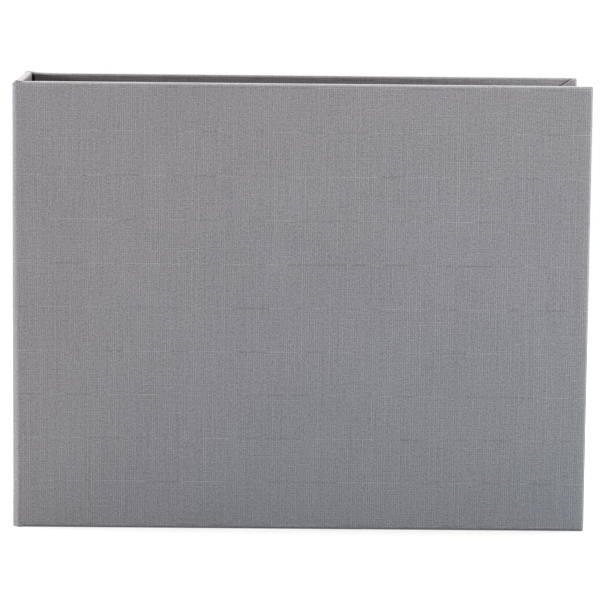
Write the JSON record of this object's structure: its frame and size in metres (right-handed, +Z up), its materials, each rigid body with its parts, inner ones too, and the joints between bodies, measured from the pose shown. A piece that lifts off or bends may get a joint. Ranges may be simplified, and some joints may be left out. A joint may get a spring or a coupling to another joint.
{
  "type": "clamshell box",
  "caption": "Book-form drop-spine box in grey linen cloth: two nesting trays on hinged covers, open along the head, tail and fore edge between the cover edges.",
  "frame": {"origin": "under the middle of the closed box, on the surface it stands on", "axes": "+Z up from the tail edge to the head, +X from the spine to the fore edge, -Y is the front cover's outward side"},
  "size_m": [0.24, 0.07, 0.187],
  "materials": {
    "book_cloth": "grey linen-weave book cloth, matt",
    "tray_cloth": "charcoal fine book cloth, matt",
    "lining_paper": "charcoal laid paper, matt",
    "greyboard": "dense grey binder's board"
  },
  "bodies": {
    "base": {"back_cover_board": "greyboard", "back_cover_cloth": "book_cloth", "base_floor_board": "greyboard", "base_head_wall": "greyboard", "base_tail_wall": "greyboard", "base_fore_edge_wall": "greyboard", "base_tray_wrap": "tray_cloth", "base_floor_lining": "lining_paper", "back_joint_cloth": "book_cloth", "back_joint_lining": "tray_cloth"},
    "spine": {"spine_board": "greyboard", "spine_cloth": "book_cloth", "spine_lining": "tray_cloth"},
    "lid": {"front_joint_cloth": "book_cloth", "front_joint_lining": "tray_cloth", "front_cover_board": "greyboard", "front_cover_cloth": "book_cloth", "lid_floor_board": "greyboard", "lid_head_wall": "greyboard", "lid_tail_wall": "greyboard", "lid_fore_edge_wall": "greyboard", "lid_tray_wrap": "tray_cloth", "lid_floor_lining": "lining_paper"}
  },
  "joints": [
    {"name": "back_joint", "type": "hinge", "parent": "base", "child": "spine", "pos_m": [-0.11944, 0.03444, 0.0935], "axis": [0, 0, -1], "range_deg": [0, 90], "deforming": ["back_joint_cloth", "back_joint_lining"]},
    {"name": "front_joint", "type": "hinge", "parent": "spine", "child": "lid", "pos_m": [-0.11944, -0.03444, 0.0935], "axis": [0, 0, -1], "range_deg": [0, 90], "deforming": ["front_joint_cloth", "front_joint_lining"]}
  ],
  "couplings": [
    {"joint": "front_joint", "follows": "back_joint", "ratio": 1}
  ]
}
